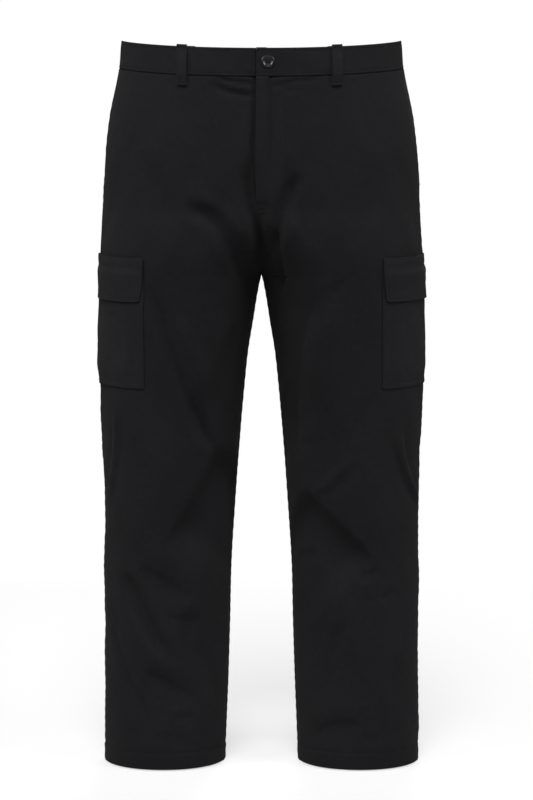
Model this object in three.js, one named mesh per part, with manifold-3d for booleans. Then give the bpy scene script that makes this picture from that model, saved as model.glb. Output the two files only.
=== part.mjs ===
import * as THREE from "three";
import Module from "manifold-3d";

// Cargo pants, filled out with no wearer in them. Sizes are millimetres, Z is up, the
// front faces -Y and +X is the wearer's left. The origin is the middle of the waist ring.
// A point on the cloth is named by its arc and its drop. The arc is measured round the leg
// from the side seam, forward positive. The drop is measured down from the waistband's top.

const TOP_Z = 22;
const BAND_HEIGHT = 40;
const SIDE_LENGTH = 1083;
const CROTCH_DROP = 342;
const FRONT_DIP = 15;
const BACK_DIP = 8;
const DIP_FADE_START = 60;
const DIP_POWER = 1.4;

const CLOTH = 1.2;
const HEM_CLOTH = 2.4;
const HEM_HEIGHT = 27;
const SEAM_GAP = 0.3;
const RING_STEPS = 96;
const NORMAL_STEP = 2.5;

const SECTION_COLUMNS = ["drop", "outer", "inner", "front", "back", "seamY", "square"];
const SECTIONS = [
  [0, 205, -205, 138, 134, 0, 2.12],
  [44, 209.3, -209.3, 141, 139, 0, 2.14],
  [100, 221, -218, 145, 150, 0, 2.2],
  [150, 228.8, -215, 147, 158, 1, 2.26],
  [200, 232.6, -192, 147, 162, 3, 2.3],
  [240, 234.6, -150, 145, 160, 5, 2.32],
  [265, 235.8, -103, 143, 155, 6, 2.34],
  [290, 237.2, -55, 139, 148, 8, 2.34],
  [310, 238.6, -26, 135, 140, 9, 2.32],
  [326, 239.2, -9.5, 131.5, 133, 9.5, 2.3],
  [342, 239, 0, 128, 127, 10, 2.28],
  [367, 238.6, 6, 124, 120, 10, 2.24],
  [412, 239.8, 13.4, 119, 113, 10, 2.2],
  [460, 240.8, 21.2, 114, 107, 10, 2.18],
  [520, 241.4, 27.4, 108, 101, 9, 2.16],
  [600, 238.8, 34.4, 100, 94, 8, 2.14],
  [690, 236.3, 40.9, 91, 88, 6, 2.12],
  [780, 237, 46.6, 84, 84, 5, 2.1],
  [870, 237.6, 48.8, 78, 82, 4, 2.08],
  [960, 237.8, 51.7, 74, 78, 2, 2.06],
  [1083, 238.6, 56.8, 70, 72, 0, 2.04],
];

// Each fold runs through three points on the cloth. Side 1 is the wearer's left leg.
const FOLD_COLUMNS = [
  "side", "arcA", "dropA", "arcB", "dropB", "arcC", "dropC", "width", "height",
];
const FOLDS = [
  [-1, 204, 222, 276, 266, 308, 356, 14, -8],
  [1, 261, 189, 300, 285, 308, 390, 13, -5],
  [-1, 164, 352, 183, 440, 217, 588, 16, -6],
  [1, 201, 350, 258, 430, 253, 585, 15, -6],
  [-1, 233, 633, 192, 679, 155, 724, 13, -8],
  [-1, 104, 765, 141, 785, 175, 806, 12, -6],
  [-1, 48, 761, 105, 832, 142, 909, 13, -6],
  [-1, 98, 929, 131, 935, 166, 958, 11, -5],
  [-1, 136, 847, 162, 854, 190, 858, 10, -5],
  [1, 212, 676, 167, 711, 125, 747, 13, -8],
  [1, 100, 569, 83, 625, 39, 678, 12, 5],
  [1, 5, 837, 54, 879, 74, 928, 11, 5],
  [1, 208, 1032, 160, 1002, 129, 1007, 11, -5],
  [-1, -60, 600, -130, 668, -205, 700, 15, -7],
  [-1, -70, 735, -140, 742, -215, 722, 13, -6],
  [-1, -50, 850, -120, 905, -200, 930, 13, -5],
  [-1, -110, 402, -190, 385, -275, 362, 17, -7],
  [1, -55, 620, -125, 672, -215, 690, 15, -7],
  [1, -80, 752, -150, 748, -210, 735, 13, -6],
  [1, -45, 880, -115, 912, -195, 950, 13, -5],
  [1, -112, 392, -188, 392, -270, 368, 17, -7],
];
const FOLD_STEPS = 14;
const FOLD_RIM = 1.2;
const FOLD_TAPER = 0.28;
const SEAM_FADE = 30;

// The left front laps over the right one along the fly, then the seam swings to the centre.
const LAP_COLUMNS = ["drop", "lap"];
const LAPS = [
  [0, 7],
  [60, 7.5],
  [150, 9],
  [225, 8],
  [262, 3],
  [290, 0],
];
const FLY_END = 236;
const LAP_RELIEF = 1.6;
const LAP_RELIEF_WIDTH = 20;
const UNDERLAP_OUTER_X = -20;
const UNDERLAP_COLUMNS = 3;
const UNDERLAP_CLOTH = 1.6;
const UNDERLAP_GAP = 0.5;

const BAND_PROUD = 0.6;
const BAND_CLOTH = 2.6;
const BAND_DROPS = [0, 13, 27];
const BAND_COLUMNS = 14;
const BAND_UNDERLAP_X = 28;
const BAND_UNDERLAP_GAP = 0.5;
const BAND_STEP = 2.8;

const LOOP_WIDTH = 16;
const LOOP_CLOTH = 2;
// Each row is a drop and how far the loop's inner face stands off the cloth there.
const LOOP_PROFILE = [
  [-2.5, 1],
  [2, 1],
  [8, 1.2],
  [15, 3],
  [28, 3.6],
  [40, 3.2],
  [48, 1.2],
  [55.5, 0.6],
];
const FRONT_LOOP_X_LEFT = 107;
const FRONT_LOOP_X_RIGHT = 112;
const BACK_LOOP_X = 108;

const BUTTON_X = 9.5;
const BUTTON_DROP = 19;
const BUTTON_SEAT = 0.4;
// Each row is a radius and a height over the button's back.
const BUTTON_PROFILE = [
  [0, 0],
  [7, 0],
  [9, 0.9],
  [9, 2.1],
  [8.2, 2.8],
  [7, 2.9],
  [5.9, 2.1],
  [5.2, 1.6],
  [0, 1.6],
];
const BUTTON_SIDES = 32;
const BUTTON_HOLE_RADIUS = 0.9;
const BUTTON_HOLE_OFFSET = 1.6;
const BUTTON_HOLE_SIDES = 10;

const PANEL_DROPS = [
  62, 84, 110, 140, 170, 200, 225, 245, 262, 278, 292, 304, 313, 322, 330, 336, 340,
  342.4, 346, 352, 363, 377, 396, 418, 440, 462, 484, 505, 530, 560, 590, 620, 650, 680,
  710, 740, 770, 805, 840, 875, 910, 950, 990, 1030, 1055, 1059, 1083,
];
const FRONT_COLUMNS = 15;
const BACK_COLUMNS = 15;
const POCKET_FRONT_COLUMNS = 6;
const POCKET_BACK_COLUMNS = 4;

// The arcs of the cargo pocket's upright edges, forward and behind the side seam. The
// panels' columns keep to the same lines all the way down.
const EDGE_COLUMNS = ["drop", "front", "back"];
const EDGES = [
  [40, 110, 72],
  [313, 145, 88],
  [380, 141, 86],
  [505, 133, 80],
  [690, 114, 70],
  [1083, 97, 60],
];
const EDGE_SHIFT = 3;
const POCKET_MOUTH = 336;
const POCKET_BOTTOM = 505;
const POCKET_CLOTH = 1.4;
const POCKET_STAND_TOP = 1.4;
const POCKET_STAND = 3.2;
const POCKET_STAND_FULL = 60;

const FLAP_TOP = 313;
const FLAP_BOTTOM = 377;
const FLAP_CLOTH = 2;
const FLAP_SEAT_DROP = 322;
const FLAP_CLEAR = 0.5;
const FLAP_SEAT = 0.95;
const FLAP_LEAN_TOP = 3;
const FLAP_LEAN_BOTTOM = -5;
const FLAP_CORNER = 5;
const FLAP_CORNER_POWER = 14;

const BAG_TOP = 62;
const BAG_BOTTOM = 304;
const BAG_CLOTH = 1.6;

const TWILL = { color: 0x222224, roughness: 0.92, metalness: 0 };
const BUTTON_PLASTIC = { color: 0x161618, roughness: 0.35, metalness: 0 };

const wasm = await Module();
wasm.setup();
const { Manifold, CrossSection } = wasm;

function smooth(value) {
  const t = Math.min(1, Math.max(0, value));
  return t * t * (3 - 2 * t);
}

function column(columns, name) {
  return columns.indexOf(name);
}

// A smooth curve through one column of a table whose first column is the drop.
function curveAt(table, index, drop) {
  let row = table.findIndex((entry) => entry[0] > drop) - 1;
  if (row === -2) row = table.length - 2;
  row = Math.max(0, row);
  const slope = (at) => {
    const before = table[Math.max(0, at - 1)];
    const after = table[Math.min(table.length - 1, at + 1)];
    return (after[index] - before[index]) / (after[0] - before[0]);
  };
  const step = table[row + 1][0] - table[row][0];
  const t = (drop - table[row][0]) / step;
  const start = (2 * t ** 3 - 3 * t ** 2 + 1) * table[row][index];
  const end = (3 * t ** 2 - 2 * t ** 3) * table[row + 1][index];
  const leaving = (t ** 3 - 2 * t ** 2 + t) * step * slope(row);
  const arriving = (t ** 3 - t ** 2) * step * slope(row + 1);
  return start + end + leaving + arriving;
}

function straightAt(table, index, drop) {
  const last = table.length - 1;
  if (drop <= table[0][0]) return table[0][index];
  if (drop >= table[last][0]) return table[last][index];
  const row = table.findIndex((entry) => entry[0] > drop) - 1;
  const t = (drop - table[row][0]) / (table[row + 1][0] - table[row][0]);
  return table[row][index] + t * (table[row + 1][index] - table[row][index]);
}

const rings = new Map();

// Half of one leg's level section, from the side seam to the inseam. Above the crotch the
// section reaches past the centre, where the two sides' sections cross.
function halfRing(drop, isFront) {
  const key = `${drop.toFixed(3)}${isFront}`;
  if (rings.has(key)) return rings.get(key);
  const size = (name) => curveAt(SECTIONS, column(SECTION_COLUMNS, name), drop);
  const outer = size("outer");
  const inner = size("inner");
  const depth = size(isFront ? "front" : "back");
  const square = size("square");
  const centre = (outer + inner) / 2;
  const reach = (outer - inner) / 2;
  const xs = [];
  const ys = [];
  const arcs = [];
  for (let i = 0; i <= RING_STEPS; i += 1) {
    const angle = (Math.PI * i) / RING_STEPS;
    const across = Math.abs(Math.cos(angle) / reach) ** square;
    const along = Math.abs(Math.sin(angle) / depth) ** square;
    const radius = (across + along) ** (-1 / square);
    xs.push(centre + radius * Math.cos(angle));
    ys.push(radius * Math.sin(angle));
    arcs.push(i === 0 ? 0 : arcs[i - 1] + Math.hypot(xs[i] - xs[i - 1], ys[i] - ys[i - 1]));
  }
  const ring = { xs, ys, arcs, depth, inner, seamY: size("seamY"), length: arcs[RING_STEPS] };
  rings.set(key, ring);
  return ring;
}

function alongRing(ring, values, arc) {
  let i = 1;
  while (i < RING_STEPS && ring.arcs[i] < arc) i += 1;
  const t = (arc - ring.arcs[i - 1]) / (ring.arcs[i] - ring.arcs[i - 1]);
  return values[i - 1] + t * (values[i] - values[i - 1]);
}

// The arc at which a section comes to a distance from the centre plane, or its inseam.
function arcAtX(drop, isFront, x) {
  const ring = halfRing(drop, isFront);
  const inseam = ring.length - SEAM_GAP / 2;
  if (ring.inner >= x) return inseam;
  let i = 1;
  while (ring.xs[i] > x) i += 1;
  const t = (ring.xs[i - 1] - x) / (ring.xs[i - 1] - ring.xs[i]);
  return Math.min(inseam, ring.arcs[i - 1] + t * (ring.arcs[i] - ring.arcs[i - 1]));
}

function plainPoint(arc, drop) {
  let isFront = arc >= 0;
  let along = Math.abs(arc);
  let ring = halfRing(drop, isFront);
  if (along > ring.length) {
    const past = along - ring.length;
    isFront = !isFront;
    ring = halfRing(drop, isFront);
    along = ring.length - past;
  }
  const x = alongRing(ring, ring.xs, along);
  const y = alongRing(ring, ring.ys, along);
  const level = smooth((CROTCH_DROP - drop) / (CROTCH_DROP - DIP_FADE_START));
  const dip = (isFront ? FRONT_DIP : BACK_DIP) * level * (y / ring.depth) ** DIP_POWER;
  return new THREE.Vector3(x, ring.seamY + (isFront ? -y : y), TOP_Z - drop - dip);
}

const foldPaths = FOLDS.map((row) => {
  const value = (name) => row[column(FOLD_COLUMNS, name)];
  const points = [];
  for (let i = 0; i <= FOLD_STEPS; i += 1) {
    const t = i / FOLD_STEPS;
    const a = (1 - t) * (1 - 2 * t);
    const b = 4 * t * (1 - t);
    const c = t * (2 * t - 1);
    points.push([
      a * value("arcA") + b * value("arcB") + c * value("arcC"),
      a * value("dropA") + b * value("dropB") + c * value("dropC"),
    ]);
  }
  return { side: value("side"), width: value("width"), height: value("height"), points };
});

// The height of the folds over the plain form, nothing at the centre seam and the inseam.
function foldHeight(side, arc, drop) {
  let height = 0;
  for (const fold of foldPaths) {
    if (fold.side !== side) continue;
    let nearest = Infinity;
    let place = 0;
    for (let i = 0; i < FOLD_STEPS; i += 1) {
      const [arcA, dropA] = fold.points[i];
      const [arcB, dropB] = fold.points[i + 1];
      const length = (arcB - arcA) ** 2 + (dropB - dropA) ** 2;
      const dot = (arc - arcA) * (arcB - arcA) + (drop - dropA) * (dropB - dropA);
      const t = Math.min(1, Math.max(0, dot / length));
      const away = Math.hypot(
        arc - arcA - t * (arcB - arcA),
        drop - dropA - t * (dropB - dropA),
      );
      if (away < nearest) {
        nearest = away;
        place = (i + t) / FOLD_STEPS;
      }
    }
    const q = (nearest / fold.width) ** 2;
    const taper = smooth(Math.min(place, 1 - place) / FOLD_TAPER);
    height += fold.height * taper * (1 - FOLD_RIM * q) * Math.exp(-q);
  }
  if (height === 0) return 0;
  const edge = arcAtX(drop, arc >= 0, 0);
  return height * smooth((edge - Math.abs(arc)) / SEAM_FADE);
}

function clothPoint(side, arc, drop) {
  const point = plainPoint(arc, drop);
  const height = foldHeight(side, arc, drop);
  if (height === 0) return point;
  const before = plainPoint(arc - NORMAL_STEP, drop);
  const after = plainPoint(arc + NORMAL_STEP, drop);
  const out = new THREE.Vector3(before.y - after.y, after.x - before.x, 0).normalize();
  return point.addScaledVector(out, height);
}

function clothNormal(side, arc, drop) {
  const round = clothPoint(side, arc + NORMAL_STEP, drop);
  round.sub(clothPoint(side, arc - NORMAL_STEP, drop));
  const down = clothPoint(side, arc, drop + NORMAL_STEP);
  down.sub(clothPoint(side, arc, drop - NORMAL_STEP));
  return round.cross(down).normalize();
}

const cache = new Map();

// A point of the cloth moved out by a distance. Left and right sides mirror each other.
function place(side, arc, drop, out, centreLimit = -Infinity) {
  const key = `${side}|${arc.toFixed(3)}|${drop.toFixed(3)}`;
  if (!cache.has(key)) {
    cache.set(key, [clothPoint(side, arc, drop), clothNormal(side, arc, drop)]);
  }
  const [point, normal] = cache.get(key);
  const moved = point.clone().addScaledVector(normal, out);
  moved.x = Math.max(moved.x, centreLimit);
  moved.x *= side;
  return moved;
}

// A closed wall between an outer and an inner grid of points, both rows of columns.
function wall(name, side, outer, inner, look) {
  const rows = outer.length;
  const columns = outer[0].length;
  const positions = [];
  for (const grid of [outer, inner]) {
    for (const row of grid) {
      for (const point of row) positions.push(point.x, point.y, point.z);
    }
  }
  const indices = [];
  const quad = (a, b, c, d) => {
    if (side > 0) indices.push(a, b, c, a, c, d);
    else indices.push(a, c, b, a, d, c);
  };
  const outerAt = (i, j) => i * columns + j;
  const innerAt = (i, j) => (rows + i) * columns + j;
  for (let i = 0; i < rows - 1; i += 1) {
    for (let j = 0; j < columns - 1; j += 1) {
      quad(outerAt(i, j), outerAt(i, j + 1), outerAt(i + 1, j + 1), outerAt(i + 1, j));
      quad(innerAt(i, j), innerAt(i + 1, j), innerAt(i + 1, j + 1), innerAt(i, j + 1));
    }
    const j = columns - 1;
    quad(outerAt(i, 0), outerAt(i + 1, 0), innerAt(i + 1, 0), innerAt(i, 0));
    quad(outerAt(i, j), innerAt(i, j), innerAt(i + 1, j), outerAt(i + 1, j));
  }
  for (let j = 0; j < columns - 1; j += 1) {
    const i = rows - 1;
    quad(outerAt(0, j), innerAt(0, j), innerAt(0, j + 1), outerAt(0, j + 1));
    quad(outerAt(i, j), outerAt(i, j + 1), innerAt(i, j + 1), innerAt(i, j));
  }
  const geometry = new THREE.BufferGeometry();
  geometry.setAttribute("position", new THREE.Float32BufferAttribute(positions, 3));
  geometry.setIndex(indices);
  geometry.computeVertexNormals();
  return solid(name, geometry, look);
}

function solid(name, geometry, look) {
  const mesh = new THREE.Mesh(geometry, new THREE.MeshStandardMaterial(look));
  mesh.name = name;
  return mesh;
}

function lapAt(drop) {
  return straightAt(LAPS, column(LAP_COLUMNS, "lap"), drop);
}

// Where a panel ends at the centre. The left front reaches past it by the lap.
function centreX(side, isFront, drop) {
  if (!isFront) return SEAM_GAP / 2;
  return SEAM_GAP / 2 - side * lapAt(drop);
}

// Arcs of a panel's columns at one drop, from the side seam inward. The cargo pocket's
// edges fall on columns, so that the pocket's points can be the panel's own, moved out.
function columnArcs(side, isFront, drop) {
  const end = arcAtX(drop, isFront, centreX(side, isFront, drop));
  const total = isFront ? FRONT_COLUMNS : BACK_COLUMNS;
  const pocket = isFront ? POCKET_FRONT_COLUMNS : POCKET_BACK_COLUMNS;
  const shift = isFront ? -side * EDGE_SHIFT : 0;
  const edge = shift + curveAt(EDGES, column(EDGE_COLUMNS, isFront ? "front" : "back"), drop);
  const arcs = [];
  for (let j = 0; j <= total; j += 1) {
    const within = (edge * j) / pocket;
    const beyond = edge + ((end - edge) * (j - pocket)) / (total - pocket);
    arcs.push(Math.max(SEAM_GAP / 2, j <= pocket ? within : beyond));
  }
  return isFront ? arcs : arcs.map((arc) => -arc).reverse();
}

function clothThickness(drop) {
  const turned = smooth((drop - (SIDE_LENGTH - HEM_HEIGHT - 2)) / 4);
  return CLOTH + (HEM_CLOTH - CLOTH) * turned;
}

function lapRelief(side, isFront, arc, drop) {
  if (!isFront || side < 0 || drop > FLY_END) return 0;
  const edge = arcAtX(drop, true, centreX(side, true, drop));
  const near = smooth(1.4 - (edge - arc) / LAP_RELIEF_WIDTH);
  return LAP_RELIEF * near * smooth((FLY_END - drop) / 20);
}

function panel(name, side, isFront) {
  const drops = [BAND_HEIGHT + SEAM_GAP / 2, ...PANEL_DROPS];
  const outer = [];
  const inner = [];
  for (const drop of drops) {
    const limit = centreX(side, isFront, drop);
    const arcs = columnArcs(side, isFront, drop);
    const relief = arcs.map((arc) => lapRelief(side, isFront, arc, drop));
    const inset = clothThickness(drop);
    outer.push(arcs.map((arc, j) => place(side, arc, drop, relief[j], limit)));
    inner.push(arcs.map((arc, j) => place(side, arc, drop, relief[j] - inset, limit)));
  }
  return wall(name, side, outer, inner, TWILL);
}

// The left band ends at the lap's edge. The right band steps in there and runs on under
// the left one, as far as the button needs.
function waistband(name, side) {
  const isRight = side < 0;
  const outer = [];
  const inner = [];
  for (const drop of [...BAND_DROPS, BAND_HEIGHT - SEAM_GAP / 2]) {
    const back = arcAtX(drop, false, SEAM_GAP / 2);
    const lapEdge = centreX(side, true, drop);
    const frontX = isRight ? lapEdge + BAND_STEP : lapEdge;
    const front = arcAtX(drop, true, frontX);
    const stations = [];
    for (let j = 0; j < BAND_COLUMNS; j += 1) {
      stations.push([-back * (1 - j / BAND_COLUMNS), BAND_PROUD, BAND_PROUD - BAND_CLOTH]);
    }
    for (let j = 0; j <= BAND_COLUMNS; j += 1) {
      stations.push([(front * j) / BAND_COLUMNS, BAND_PROUD, BAND_PROUD - BAND_CLOTH]);
    }
    if (isRight) {
      const under = BAND_PROUD - BAND_CLOTH - BAND_UNDERLAP_GAP;
      const floor = under - BAND_CLOTH;
      stations.push([arcAtX(drop, true, lapEdge), BAND_PROUD, floor]);
      stations.push([arcAtX(drop, true, lapEdge - SEAM_GAP / 3), under, floor]);
      stations.push([arcAtX(drop, true, 0), under, floor]);
      stations.push([arcAtX(drop, true, -BAND_UNDERLAP_X / 2), under, floor]);
      stations.push([arcAtX(drop, true, -BAND_UNDERLAP_X), under, floor]);
    }
    outer.push(stations.map(([arc, out]) => place(side, arc, drop, out)));
    inner.push(stations.map(([arc, , out]) => place(side, arc, drop, out)));
  }
  for (const grid of [outer, inner]) {
    for (const row of grid) row[0].x = side * (SEAM_GAP / 2);
  }
  return wall(name, side, outer, inner, TWILL);
}

function beltLoop(name, side, isFront, x) {
  const outer = [];
  const inner = [];
  for (const [drop, standOff] of LOOP_PROFILE) {
    const middle = arcAtX(Math.max(0, drop), isFront, x) * (isFront ? 1 : -1);
    const arcs = [middle - LOOP_WIDTH / 2, middle, middle + LOOP_WIDTH / 2];
    outer.push(arcs.map((arc) => place(side, arc, drop, standOff + LOOP_CLOTH)));
    inner.push(arcs.map((arc) => place(side, arc, drop, standOff)));
  }
  return wall(name, side, outer, inner, TWILL);
}

// The underlap lies behind the left front's last columns and runs on past the lap's edge.
function flyUnderlap(name) {
  const drops = PANEL_DROPS.filter((drop) => drop < FLY_END);
  const outer = [];
  const inner = [];
  for (const drop of [BAND_HEIGHT + SEAM_GAP / 2, ...drops]) {
    const arcs = columnArcs(1, true, drop).slice(-UNDERLAP_COLUMNS);
    arcs.push(arcAtX(drop, true, UNDERLAP_OUTER_X));
    const out = -CLOTH - UNDERLAP_GAP;
    outer.push(arcs.map((arc) => place(1, arc, drop, out)));
    inner.push(arcs.map((arc) => place(1, arc, drop, out - UNDERLAP_CLOTH)));
  }
  return wall(name, 1, outer, inner, TWILL);
}

// How far the cargo pocket's inner face stands off the leg. Its sewn edges lie on it.
function pocketStand(share, drop) {
  const edge = Math.min(share, 1 - share);
  const sides = smooth(edge / 0.16);
  const deep = smooth((drop - POCKET_MOUTH) / POCKET_STAND_FULL);
  const full = POCKET_STAND_TOP + (POCKET_STAND - POCKET_STAND_TOP) * deep;
  const bottom = smooth((POCKET_BOTTOM - drop) / 24);
  return SEAM_GAP + (full - SEAM_GAP) * sides * bottom;
}

function pocketArcs(side, drop) {
  const front = columnArcs(side, true, drop).slice(1, POCKET_FRONT_COLUMNS + 1);
  const back = columnArcs(side, false, drop).slice(-POCKET_BACK_COLUMNS - 1, -1);
  return [...back, 0, ...front];
}

function cargoPocket(name, side) {
  const drops = PANEL_DROPS.filter((drop) => drop >= POCKET_MOUTH && drop <= POCKET_BOTTOM);
  const outer = [];
  const inner = [];
  for (const drop of drops) {
    const arcs = pocketArcs(side, drop);
    const stand = arcs.map((arc, j) => pocketStand(j / (arcs.length - 1), drop));
    outer.push(arcs.map((arc, j) => place(side, arc, drop, stand[j] + POCKET_CLOTH)));
    inner.push(arcs.map((arc, j) => place(side, arc, drop, stand[j])));
  }
  return wall(name, side, outer, inner, TWILL);
}

// The flap is sewn down along its top, rises over the pocket's mouth and hangs on it.
function cargoFlap(name, side) {
  const levels = PANEL_DROPS.filter((drop) => drop >= FLAP_TOP && drop <= FLAP_BOTTOM);
  const last = POCKET_FRONT_COLUMNS + POCKET_BACK_COLUMNS;
  const outer = [];
  const inner = [];
  for (const level of levels) {
    const down = (level - FLAP_TOP) / (FLAP_BOTTOM - FLAP_TOP);
    const rowOuter = [];
    const rowInner = [];
    for (let j = 0; j <= last; j += 1) {
      const share = j / last;
      const corner = FLAP_CORNER * Math.abs(2 * share - 1) ** FLAP_CORNER_POWER;
      const drop = level - corner * down;
      const lean = FLAP_LEAN_TOP + (FLAP_LEAN_BOTTOM - FLAP_LEAN_TOP) * down;
      const arc = pocketArcs(side, drop)[j] + (j === last ? lean : 0);
      const rise = smooth((drop - FLAP_SEAT_DROP) / (POCKET_MOUTH - 2 - FLAP_SEAT_DROP));
      const top = pocketStand(share, Math.max(drop, POCKET_MOUTH)) + POCKET_CLOTH + FLAP_CLEAR;
      const out = FLAP_SEAT + (top - FLAP_SEAT) * rise;
      rowOuter.push(place(side, arc, drop, out + FLAP_CLOTH));
      rowInner.push(place(side, arc, drop, out));
    }
    outer.push(rowOuter);
    inner.push(rowInner);
  }
  return wall(name, side, outer, inner, TWILL);
}

// The bag of the hand pocket in the side seam lies flat behind the front, its two layers together.
function pocketBag(name, side) {
  const drops = PANEL_DROPS.filter((drop) => drop >= BAG_TOP && drop <= BAG_BOTTOM);
  const outer = [];
  const inner = [];
  for (const drop of drops) {
    const arcs = columnArcs(side, true, drop).slice(0, POCKET_FRONT_COLUMNS + 1);
    const out = -CLOTH - SEAM_GAP;
    outer.push(arcs.map((arc) => place(side, arc, drop, out)));
    inner.push(arcs.map((arc) => place(side, arc, drop, out - BAG_CLOTH)));
  }
  return wall(name, side, outer, inner, TWILL);
}

function button(name) {
  const holes = [];
  for (const x of [-BUTTON_HOLE_OFFSET, BUTTON_HOLE_OFFSET]) {
    for (const y of [-BUTTON_HOLE_OFFSET, BUTTON_HOLE_OFFSET]) {
      const hole = Manifold.cylinder(8, BUTTON_HOLE_RADIUS, BUTTON_HOLE_RADIUS, BUTTON_HOLE_SIDES);
      holes.push(hole.translate([x, y, -2]));
    }
  }
  const disc = Manifold.revolve(new CrossSection([BUTTON_PROFILE]), BUTTON_SIDES);
  const body = disc.subtract(Manifold.union(holes)).getMesh();
  const geometry = new THREE.BufferGeometry();
  const positions = [];
  for (let i = 0; i < body.numVert; i += 1) {
    const at = i * body.numProp;
    positions.push(...body.vertProperties.slice(at, at + 3));
  }
  geometry.setAttribute("position", new THREE.Float32BufferAttribute(positions, 3));
  geometry.setIndex(Array.from(body.triVerts));
  const arc = arcAtX(BUTTON_DROP, true, BUTTON_X);
  const normal = clothNormal(1, arc, BUTTON_DROP);
  const turn = new THREE.Quaternion().setFromUnitVectors(new THREE.Vector3(0, 0, 1), normal);
  geometry.applyQuaternion(turn);
  const seat = place(1, arc, BUTTON_DROP, BAND_PROUD + BUTTON_SEAT);
  geometry.translate(seat.x, seat.y, seat.z);
  geometry.computeVertexNormals();
  return solid(name, geometry, BUTTON_PLASTIC);
}

const group = new THREE.Group();
group.name = "cargo_pants";
group.add(
  panel("front_left", 1, true),
  panel("front_right", -1, true),
  panel("back_left", 1, false),
  panel("back_right", -1, false),
  waistband("waistband_left", 1),
  waistband("waistband_right", -1),
  beltLoop("belt_loop_front_left", 1, true, FRONT_LOOP_X_LEFT),
  beltLoop("belt_loop_front_right", -1, true, FRONT_LOOP_X_RIGHT),
  beltLoop("belt_loop_back_left", 1, false, BACK_LOOP_X),
  beltLoop("belt_loop_back_right", -1, false, BACK_LOOP_X),
  beltLoop("belt_loop_back_centre", 1, false, 0),
  flyUnderlap("fly_underlap"),
  button("waist_button"),
  pocketBag("pocket_bag_left", 1),
  pocketBag("pocket_bag_right", -1),
  cargoPocket("cargo_pocket_left", 1),
  cargoPocket("cargo_pocket_right", -1),
  cargoFlap("cargo_flap_left", 1),
  cargoFlap("cargo_flap_right", -1),
);

export default group;
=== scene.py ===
import functools
import math
import bmesh
import bpy
import numpy as np
from mathutils import Matrix, Vector


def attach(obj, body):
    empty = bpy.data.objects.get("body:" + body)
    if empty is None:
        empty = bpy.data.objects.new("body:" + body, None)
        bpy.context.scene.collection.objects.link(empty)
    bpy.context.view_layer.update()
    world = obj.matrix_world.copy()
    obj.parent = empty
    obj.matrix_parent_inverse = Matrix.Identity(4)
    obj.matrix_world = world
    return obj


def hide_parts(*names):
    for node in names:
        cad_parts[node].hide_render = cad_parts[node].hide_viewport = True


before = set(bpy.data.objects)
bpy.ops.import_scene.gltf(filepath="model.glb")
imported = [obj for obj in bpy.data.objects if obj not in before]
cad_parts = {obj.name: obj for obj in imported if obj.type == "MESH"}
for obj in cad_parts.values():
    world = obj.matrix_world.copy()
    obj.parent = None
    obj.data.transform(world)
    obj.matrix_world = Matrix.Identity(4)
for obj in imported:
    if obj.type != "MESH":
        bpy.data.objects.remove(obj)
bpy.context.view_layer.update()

# Fronts and backs
# Four panels of black cotton twill, cut in pairs and sewn down the sides, inseams and rise.
# Each is a thin shell on the form of its solid, with the creases of a worn pair laid in.
# A point is named by its arc round the leg from the side seam and its drop, in mm.
MM = 0.001
TOP_Z = 22
BAND_HEIGHT = 40
SIDE_LENGTH = 1083
CROTCH_DROP = 342
FRONT_DIP = 15
BACK_DIP = 8
DIP_FADE_START = 60
SEAM_GAP = 0.3
RING_STEPS = 180
CLOTH = 1.2

SECTION_COLUMNS = ["drop", "outer", "inner", "front", "back", "seam_y", "square"]
SECTIONS = np.array([
    [0, 205, -205, 138, 134, 0, 2.12],
    [44, 209.3, -209.3, 141, 139, 0, 2.14],
    [100, 221, -218, 145, 150, 0, 2.2],
    [150, 228.8, -215, 147, 158, 1, 2.26],
    [200, 232.6, -192, 147, 162, 3, 2.3],
    [240, 234.6, -150, 145, 160, 5, 2.32],
    [265, 235.8, -103, 143, 155, 6, 2.34],
    [290, 237.2, -55, 139, 148, 8, 2.34],
    [310, 238.6, -26, 135, 140, 9, 2.32],
    [326, 239.2, -9.5, 131.5, 133, 9.5, 2.3],
    [342, 239, 0, 128, 127, 10, 2.28],
    [367, 238.6, 6, 124, 120, 10, 2.24],
    [412, 239.8, 13.4, 119, 113, 10, 2.2],
    [460, 240.8, 21.2, 114, 107, 10, 2.18],
    [520, 241.4, 27.4, 108, 101, 9, 2.16],
    [600, 238.8, 34.4, 100, 94, 8, 2.14],
    [690, 236.3, 40.9, 91, 88, 6, 2.12],
    [780, 237, 46.6, 84, 84, 5, 2.1],
    [870, 237.6, 48.8, 78, 82, 4, 2.08],
    [960, 237.8, 51.7, 74, 78, 2, 2.06],
    [1083, 238.6, 56.8, 70, 72, 0, 2.04],
])


def smooth(value):
    t = np.clip(value, 0, 1)
    return t * t * (3 - 2 * t)


def curve_at(table, column, drop):
    """A smooth curve through one column of a table whose first column is the drop."""
    drops, sizes = table[:, 0], table[:, column]
    last = len(drops) - 1
    i = int(np.clip(np.searchsorted(drops, drop, side="right") - 1, 0, last - 1))

    def slope(k):
        a, b = max(0, k - 1), min(last, k + 1)
        return (sizes[b] - sizes[a]) / (drops[b] - drops[a])

    step = drops[i + 1] - drops[i]
    t = (drop - drops[i]) / step
    start = (2 * t**3 - 3 * t**2 + 1) * sizes[i] + (t**3 - 2 * t**2 + t) * step * slope(i)
    end = (3 * t**2 - 2 * t**3) * sizes[i + 1] + (t**3 - t**2) * step * slope(i + 1)
    return start + end


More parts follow.
